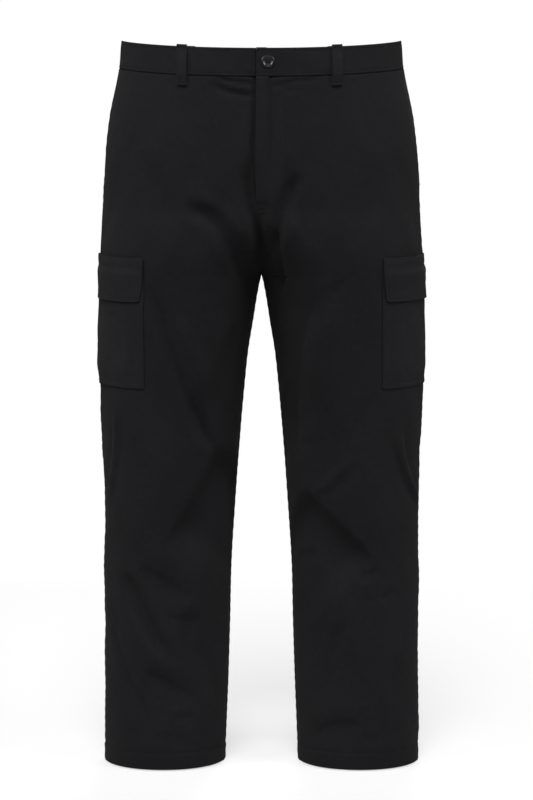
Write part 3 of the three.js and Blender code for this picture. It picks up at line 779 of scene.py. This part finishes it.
def band_height(drop):
    """Height of the band's outer face: rounded over at its edges, drawn in at its stitching."""
    rim = np.minimum(drop, BAND_HEIGHT - drop)
    round_over = -BAND_ROUND * np.clip(1 - rim / BAND_RIM, 0, 1) ** 2
    stitched = -0.4 * np.exp(-(((rim - BAND_SEWN) / 1.2) ** 2))
    return BAND_PROUD + round_over + stitched


def band_waves(side, arc, drop):
    """The band's soft waves, and short puckers between its lower stitching and its seam."""
    soft = 0.4 * np.sin(arc / 17 + drop / 9) * np.sin(arc / 41 + 1.3 + side)
    pull = (0.22 * np.sin(arc / 2.3 + 2 * np.sin(arc / 19 + side))
            * np.exp(-(((drop - 38) / 4) ** 2)))
    return soft * smooth(np.minimum(drop, BAND_HEIGHT - drop) / 8) + pull


def band_face(side, arc, drop):
    return band_height(drop) + band_waves(side, arc, drop)


def lay_band(side):
    lift, lift_width = BAND_LIFT[side]

    def lay(column, row):
        drop = BAND_DROPS[row]
        arc, out = np.empty(len(column)), np.empty(len(column))
        for k, level in enumerate(BAND_DROPS):
            here = row == k
            back = arc_at_x(level, False, SEAM_GAP / 2)
            edge = SEAM_GAP / 2 - side * lap_at(level)
            front = arc_at_x(level, True, edge)
            places = edge_spaced(back + front, BAND_COLUMNS) - back
            arc[here] = places[column[here]]
            end_rim = np.minimum(arc[here] + back, front - arc[here])
            out[here] = -BAND_ROUND * np.clip(1 - end_rim / BAND_RIM, 0, 1) ** 2
            out[here] += lift * np.exp(-(((front - arc[here]) / lift_width) ** 2))
        return arc, drop, out + band_face(side, arc, drop)
    return lay


BAND_TWILL = twill_material("black waistband twill", (0.0104, 0.0104, 0.0117), wear=0.3)
for side, name in ((1, "waistband_left"), (-1, "waistband_right")):
    band = lay_shell(f"{name}_cloth", side, BAND_COLUMNS, len(BAND_DROPS) - 1, lay_band(side),
                     BAND_CLOTH - 0.3)
    dress(band, BAND_TWILL, name)
band_rows = []
for side in (1, -1):
    back = arc_at_x(BAND_MIDDLE, False, 3)
    front = arc_at_x(BAND_MIDDLE, True, 2.5 - side * 7)
    for drop in (BAND_SEWN, BAND_HEIGHT - BAND_SEWN):
        line = [(a, drop) for a in np.linspace(-back, front, 90)]
        band_rows.append((side, line, thread_on(band_face, side)))
end_row = [(arc_at_x(d, True, -3), d) for d in (4.2, 12, 24, 35.8)]
band_rows.append((1, end_row, thread_on(band_face, 1)))
sew("waistband_stitches", band_rows)


def lay_band_underlap(column, row):
    drop = np.linspace(0.3, 39.7, 9)[row]
    start = arc_at_x(BAND_MIDDLE, True, 0.5) - 8
    arc = np.interp(column, [0, 8], [start, arc_at_x(BAND_MIDDLE, True, -BAND_UNDERLAP_X)])
    return arc, drop, np.full(len(column), BAND_PROUD - BAND_CLOTH - BAND_UNDERLAP_GAP)


under_band = lay_shell("waistband_right_end", -1, 8, 8, lay_band_underlap, 2.2)
under_band.data.materials.append(BAND_TWILL)
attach(under_band, "root")

BUTTON_X = 9.5
BUTTON_DROP = 19
BUTTON_THICK = 1.85
HOLE_START_X = 2.5
HOLE_PITCH = 0.75
HOLE_ROW = 1.7
hole_bars = []
for k in range(22):
    arc = arc_at_x(float(BUTTON_DROP), True, HOLE_START_X + k * HOLE_PITCH)
    for row in (BUTTON_DROP - HOLE_ROW, BUTTON_DROP + HOLE_ROW):
        hole_bars.append((1, [(arc, row - 1.1), (arc, row + 1.1)], BAND_PROUD + 0.1))
tack("buttonhole_stitches", hole_bars)

# Belt loops
# Five folded strips of the same twill, two rows of stitching down each, bar tacked at the
# top edge of the band and just under its lower seam. They stand a little off the band.
LOOP_CLOTH = 2
LOOP_PLACES = np.array([-8, -7.4, -6, -4, 0, 4, 6, 7.4, 8])
LOOP_ROW = 5
LOOP_DROPS = np.array([-2.5, -1.5, 0, 2, 5, 8, 11, 15, 20, 28, 34, 40, 44, 48, 50.5, 52.5, 54.5,
                       55.5])
LOOP_STAND = np.array([1, 1, 1, 1, 1.1, 1.2, 1.9, 3, 3.4, 3.6, 3.5, 3.2, 2.3, 1.2, 0.9, 0.7, 0.6,
                       0.6])
LOOPS = {
    "belt_loop_front_left": (1, True, 107), "belt_loop_front_right": (-1, True, 112),
    "belt_loop_back_left": (1, False, 108), "belt_loop_back_right": (-1, False, 108),
    "belt_loop_back_centre": (1, False, 0),
}


def loop_arc(is_front, x, drop):
    return arc_at_x(max(0.0, float(drop)), is_front, x) * (1 if is_front else -1)


def lay_loop(is_front, x):
    def lay(column, row):
        drop = LOOP_DROPS[row]
        middle = np.array([loop_arc(is_front, x, d) for d in LOOP_DROPS])[row]
        place = LOOP_PLACES[column]
        sewn = 0.25 * np.exp(-(((np.abs(place) - LOOP_ROW) / 1.2) ** 2))
        crown = 0.35 * (1 - (place / LOOP_PLACES[-1]) ** 4) - sewn
        return middle + place, drop, LOOP_STAND[row] + LOOP_CLOTH - 0.3 + crown
    return lay


def on_loop(arc, drop):
    return np.interp(drop, LOOP_DROPS, LOOP_STAND) + LOOP_CLOTH - 0.05


LOOP_TWILL = twill_material("black belt loop twill", (0.0106, 0.0106, 0.012), wear=0.35)
loop_rows, loop_bars = [], []
for name, (side, is_front, x) in LOOPS.items():
    loop = lay_shell(f"{name}_cloth", side, len(LOOP_PLACES) - 1, len(LOOP_DROPS) - 1,
                     lay_loop(is_front, x), LOOP_CLOTH - 0.3, bevel=0.35)
    dress(loop, LOOP_TWILL, name)
    for place in (-LOOP_ROW, LOOP_ROW):
        line = [(loop_arc(is_front, x, d) + place, d) for d in (4, 20, 38, 50)]
        loop_rows.append((side, line, on_loop))
    for drop in (1.2, 49.5, 53.5):
        height = float(np.interp(drop, LOOP_DROPS, LOOP_STAND)) + LOOP_CLOTH
        loop_bars += bar_tack(side, loop_arc(is_front, x, drop), drop, height, width=13)
sew("belt_loop_stitches", loop_rows)
tack("belt_loop_bar_tacks", loop_bars)

# Waist button
# A glossy black sew-through button of moulded plastic with a raised rim. The solid's own
# shape is right, so it keeps it, and a cross of thread holds it through its four holes.
BUTTON_GLOSS = speckled_material("black moulded button", 0.7, 700, (0.006, 0.018), (0.12, 0.3))
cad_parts["waist_button"].data.materials.clear()
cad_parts["waist_button"].data.materials.append(BUTTON_GLOSS)

HOLE_OFF_CENTRE = 1.6
button_arc = arc_at_x(float(BUTTON_DROP), True, BUTTON_X)
thread_bars = []
for turn in (1, -1):
    ends = [(button_arc + way * HOLE_OFF_CENTRE, BUTTON_DROP + way * turn * HOLE_OFF_CENTRE)
            for way in (-1, 1)]
    thread_bars.append((1, ends, BAND_PROUD + 0.4 + BUTTON_THICK))
tack("button_thread", thread_bars)

# Hand pockets
# Openings in the side seams, 142 mm long, stitched back along the front's edge and tacked
# at both ends. Each bag is two layers of pocketing that lie flat behind the front.
POCKET_TOP = 68
POCKET_END = 210
BAG_CLOTH = 1.4
BAG_DROPS = np.linspace(62, 304, 49)
BAG_CORNER = 18
EDGES = np.array([[40, 110, 72], [313, 145, 88], [380, 141, 86], [505, 133, 80], [690, 114, 70],
                  [1083, 97, 60]])
EDGE_SHIFT = 3


def edge_arc(side, is_front, drop):
    """Arc of the line that the cargo pocket's upright edge keeps to."""
    if is_front:
        return curve_at(EDGES, 1, drop) - side * EDGE_SHIFT
    return -curve_at(EDGES, 2, drop)


def lay_bag(side):
    def lay(column, row):
        drop = BAG_DROPS[row]
        edge = np.array([edge_arc(side, True, d) for d in BAG_DROPS])[row]
        arc = SEAM_GAP / 2 + (edge - SEAM_GAP / 2) * column / 22
        corner = BAG_CORNER * smooth((row - 42) / 6) * smooth((column - 16) / 6)
        return arc, drop - corner, np.full(len(column), -CLOTH - SEAM_GAP - 0.1)
    return lay


POCKETING = twill_material("black pocketing", (0.012, 0.012, 0.013), rib=0.5, relief=0.2)
mouth_rows, mouth_bars = [], []
for side, name in ((1, "pocket_bag_left"), (-1, "pocket_bag_right")):
    bag = lay_shell(f"{name}_cloth", side, 22, 48, lay_bag(side), BAG_CLOTH)
    dress(bag, POCKETING, name)
    for place in (2.5, 8.5):
        mouth = [(place, d) for d in np.linspace(POCKET_TOP, POCKET_END, 20)]
        mouth_rows.append((side, mouth, 0.1))
    for drop in (POCKET_TOP, POCKET_END):
        mouth_bars += bar_tack(side, 5, drop, 0.3, width=10)
sew("hand_pocket_stitches", mouth_rows)
tack("hand_pocket_bar_tacks", mouth_bars)

# Cargo pockets
# One patch of twill over each side seam at the thigh, its edges turned in and sewn down on
# three sides with two rows. The middle stands a few millimetres off the leg.
POCKET_MOUTH = 336
POCKET_BOTTOM = 505
POCKET_CLOTH = 1.4
POCKET_STAND_TOP = 1.4
POCKET_STAND = 3.2
POCKET_INSETS = (2.2, 8)
POCKET_COLUMNS = 66
POCKET_DROPS = np.concatenate([np.linspace(POCKET_MOUTH, 495, 49),
                               [497, 499, 500.6, 502, 503.2, 504.2, 504.7, 505]])
# A crease's row gives the arcs and drops of three points, its width and its height.
POCKET_FOLDS = {
    1: [(60, 378, 50, 406, 34, 426, 4, -1.8), (31, 446, 44, 468, 92, 480, 4.5, -1.9),
        (112, 400, 106, 430, 112, 468, 7, 1), (-50, 390, -40, 430, -52, 480, 7, -1.2)],
    -1: [(122, 420, 116, 450, 119, 482, 5, 1.2), (20, 392, 32, 430, 24, 478, 6, -1.3),
         (70, 395, 84, 402, 104, 396, 6, -0.8), (-46, 392, -38, 436, -50, 484, 7, -1.2)],
}


def pocket_folds(side, arc, drop):
    height = np.zeros(len(arc))
    for a0, d0, a1, d1, a2, d2, width, fold in POCKET_FOLDS[side]:
        for t in np.linspace(0, 1, 13):
            u, v, w = (1 - t) * (1 - 2 * t), 4 * t * (1 - t), t * (2 * t - 1)
            away = (arc - u * a0 - v * a1 - w * a2) ** 2 + (drop - u * d0 - v * d1 - w * d2) ** 2
            here = fold * np.exp(-away / width**2) * math.sin(math.pi * (0.08 + 0.84 * t))
            height = np.where(np.abs(here) > np.abs(height), here, height)
    return height


def pocket_share(side, arc, drop):
    levels, where = np.unique(drop, return_inverse=True)
    front = np.array([edge_arc(side, True, d) for d in levels])[where]
    back = np.array([edge_arc(side, False, d) for d in levels])[where]
    return (arc - back) / (front - back), front - back


def pocket_stand(side, arc, drop):
    """Height of the pocket's outer face over the leg, in mm."""
    share, width = pocket_share(side, arc, drop)
    rim = np.minimum(share, 1 - share) * width
    foot = POCKET_BOTTOM - drop
    deep = smooth((drop - POCKET_MOUTH) / 60)
    full = POCKET_STAND_TOP + (POCKET_STAND - POCKET_STAND_TOP) * deep
    lift = smooth((rim - 7) / 22) * smooth((foot - 7) / 24)
    nearest = np.minimum(rim, foot)
    outer, inner = POCKET_INSETS
    sewn = np.exp(-(((nearest - outer) / 1.3) ** 2)) + np.exp(-(((nearest - inner) / 1.4) ** 2))
    round_over = -0.8 * np.clip(1 - nearest / 1.3, 0, 1) ** 2
    raised = (full - 0.3 + pocket_folds(side, arc, drop)) * lift
    return 0.5 + POCKET_CLOTH + raised - 0.35 * sewn + round_over


def lay_pocket(side):
    def lay(column, row):
        drop = POCKET_DROPS[row]
        arc = np.empty(len(column))
        for k, level in enumerate(POCKET_DROPS):
            here = row == k
            back, front = edge_arc(side, False, level), edge_arc(side, True, level)
            arc[here] = (back + edge_spaced(front - back, POCKET_COLUMNS))[column[here]]
        return arc, drop, pocket_stand(side, arc, drop)
    return lay


POCKET_TWILL = twill_material("black pocket twill", (0.0118, 0.0118, 0.0132), wear=0.3)
pocket_rows = []
for side, name in ((1, "cargo_pocket_left"), (-1, "cargo_pocket_right")):
    pocket = lay_shell(f"{name}_cloth", side, POCKET_COLUMNS, len(POCKET_DROPS) - 1,
                       lay_pocket(side), POCKET_CLOTH)
    dress(pocket, POCKET_TWILL, name)
    for inset in POCKET_INSETS:
        foot = POCKET_BOTTOM - inset
        down = np.linspace(340, foot, 24)
        ends = edge_arc(side, False, foot) + inset, edge_arc(side, True, foot) - inset
        line = [(edge_arc(side, False, d) + inset, d) for d in down]
        line += [(a, foot) for a in np.linspace(*ends, 30)[1:-1]]
        line += [(edge_arc(side, True, d) - inset, d) for d in down[::-1]]
        pocket_rows.append((side, line, thread_on(pocket_stand, side)))
sew("cargo_pocket_stitches", pocket_rows)

# Cargo pocket flaps
# A doubled flap over each pocket's mouth, sewn to the leg along its top with two rows and
# topstitched round its free edges, with small rounded corners.
FLAP_TOP = 313
FLAP_BOTTOM = 377
FLAP_CLOTH = 2
FLAP_SEAT = 0.95
FLAP_CLEAR = 0.5
FLAP_COLUMNS = 66
FLAP_SEWN = (324.5, 329.5)
FLAP_INSET = 5
FLAP_HEIGHTS = np.concatenate([[0, 0.8, 1.8, 3.2], np.linspace(6, 58, 17), [60.8, 62.2, 63.2, 64]])


def flap_edges(side, drop):
    down = np.clip((drop - FLAP_TOP) / (FLAP_BOTTOM - FLAP_TOP), 0, 1)
    return edge_arc(side, False, drop), edge_arc(side, True, drop) + 3 - 8 * down


def flap_height(side, arc, drop):
    pocket = pocket_stand(side, arc, np.maximum(drop, POCKET_MOUTH)) + FLAP_CLEAR
    rise = smooth((drop - 325) / 14)
    base = FLAP_SEAT + (np.maximum(pocket, 1.9) - FLAP_SEAT) * rise
    upper, lower = FLAP_SEWN
    sewn = (-0.25 * np.exp(-(((drop - upper) / 1.3) ** 2))
            - 0.55 * np.exp(-(((drop - lower) / 1.7) ** 2)))
    foot = -0.35 * np.exp(-(((FLAP_BOTTOM - drop - FLAP_INSET) / 1.5) ** 2))
    swell = 0.5 * np.sin(arc / 26 + 0.8 * side) * smooth((drop - 330) / 30)
    return base + FLAP_CLOTH + sewn + foot + swell


def lay_flap(side):
    def lay(column, row):
        arc, drop = np.empty(len(column)), np.empty(len(column))
        for k, height in enumerate(FLAP_HEIGHTS):
            here = row == k
            level = FLAP_TOP + height
            back, front = flap_edges(side, level)
            places = back + edge_spaced(front - back, FLAP_COLUMNS)
            rim = np.minimum(places - back, front - places)
            corner = 3.5 * np.clip(1 - rim / 4.5, 0, 1) ** 2 * smooth((height - 30) / 34)
            arc[here], drop[here] = places[column[here]], (level - corner)[column[here]]
        return arc, drop, flap_height(side, arc, drop)
    return lay


FLAP_TWILL = twill_material("black flap twill", (0.0122, 0.0122, 0.0137), wear=0.34)
flap_rows = []
for side, name in ((1, "cargo_flap_left"), (-1, "cargo_flap_right")):
    flap = lay_shell(f"{name}_cloth", side, FLAP_COLUMNS, len(FLAP_HEIGHTS) - 1, lay_flap(side),
                     FLAP_CLOTH - 0.2, bevel=0.5)
    dress(flap, FLAP_TWILL, name)
    for level in FLAP_SEWN:
        back, front = flap_edges(side, level)
        line = [(a, level) for a in np.linspace(back + 2, front - 2, 40)]
        flap_rows.append((side, line, thread_on(flap_height, side)))
    foot, down = FLAP_BOTTOM - FLAP_INSET, np.linspace(331, 369, 8)
    back, front = flap_edges(side, foot)
    line = [(flap_edges(side, d)[0] + FLAP_INSET, d) for d in down]
    line += [(a, foot) for a in np.linspace(back + 8, front - 8, 30)]
    line += [(flap_edges(side, d)[1] - FLAP_INSET, d) for d in down[::-1]]
    flap_rows.append((side, line, thread_on(flap_height, side)))
sew("cargo_flap_stitches", flap_rows)

# Floor, light and camera
# A white studio: a pale floor, a wide far light and a box high in front, a low box in front,
# one behind, two weak ones beside the garment, and the camera far off at hip height.
FLOOR_Z = (TOP_Z - SIDE_LENGTH) * MM - 0.002
FLOOR_REACH = 1.3
bm = bmesh.new()
bmesh.ops.create_grid(bm, x_segments=1, y_segments=1, size=FLOOR_REACH,
                      matrix=Matrix.Translation((0, 0, FLOOR_Z)))
floor_mesh = mesh_from("floor", bm)
floor = put_in_scene("floor", floor_mesh)
paper, surface, nodes, link = new_material("white paper", 0)
surface.inputs["Base Color"].default_value = (0.4, 0.4, 0.4, 1)
surface.inputs["Roughness"].default_value = 0.95
surface.inputs["Emission Color"].default_value = (1, 1, 1, 1)
ray = nodes.new("ShaderNodeLightPath")
glow = nodes.new("ShaderNodeMapRange")
glow.inputs["To Max"].default_value = 0.53
link(ray.outputs["Is Camera Ray"], glow.inputs["Value"])
link(glow.outputs["Result"], surface.inputs["Emission Strength"])
floor_mesh.materials.append(paper)

# The room is bright to the eye and dimmer as a light, so that the creases keep their shade.
ROOM_SEEN = 1.0
ROOM_FILL = 0.11
world = bpy.data.worlds.new("white studio")
bpy.context.scene.world = world
world.use_nodes = True
nodes, link = world.node_tree.nodes, world.node_tree.links.new
room = nodes["Background"]
room.inputs["Color"].default_value = (1, 1, 1, 1)
ray = nodes.new("ShaderNodeLightPath")
level = nodes.new("ShaderNodeMapRange")
level.inputs["To Min"].default_value = ROOM_FILL
level.inputs["To Max"].default_value = ROOM_SEEN
link(ray.outputs["Is Camera Ray"], level.inputs["Value"])
link(level.outputs["Result"], room.inputs["Strength"])


def add_light(name, kind, place, aim, energy):
    lamp = bpy.data.lights.new(name, kind)
    lamp.energy = energy
    holder = put_in_scene(name, lamp)
    holder.location = place
    holder.rotation_euler = (Vector(aim) - Vector(place)).to_track_quat("-Z", "Y").to_euler()
    return lamp


far = add_light("high far light", "SUN", (-0.2, -2.0, 3.0), (0, 0, -0.5), 1.9)
far.angle = math.radians(30)
key = add_light("high front box", "AREA", (-0.2, -2.6, 2.5), (0, 0, -0.5), 32)
key.shape = "DISK"
key.size = 1.4
back = add_light("back box", "AREA", (0.3, 2.6, 1.2), (0, 0, -0.5), 40)
back.size = 1.4
low = add_light("low front box", "AREA", (0.1, -2.4, -1.0), (0, 0, -0.35), 9)
low.size = 1.2
for x in (-1.25, 1.25):
    side_box = add_light("side box", "AREA", (x, -0.55, 0.35), (0.12 * x, 0, -0.5), 2.4)
    side_box.spread = math.radians(60)
    side_box.shape = "RECTANGLE"
    side_box.size = 0.8
    side_box.size_y = 1.8

CAMERA_PLACE = (0.0075, -3.3, -0.09765)
CAMERA_TILT = 7.1336
view = bpy.data.cameras.new("photo camera")
view.sensor_fit = "VERTICAL"
view.sensor_height = 36
view.lens = 99.772
view.clip_end = 50
camera = put_in_scene("photo camera", view)
camera.location = CAMERA_PLACE
camera.rotation_euler = (math.radians(90 - CAMERA_TILT), 0, 0)
bpy.context.scene.camera = camera
bpy.context.scene.view_settings.view_transform = "Standard"
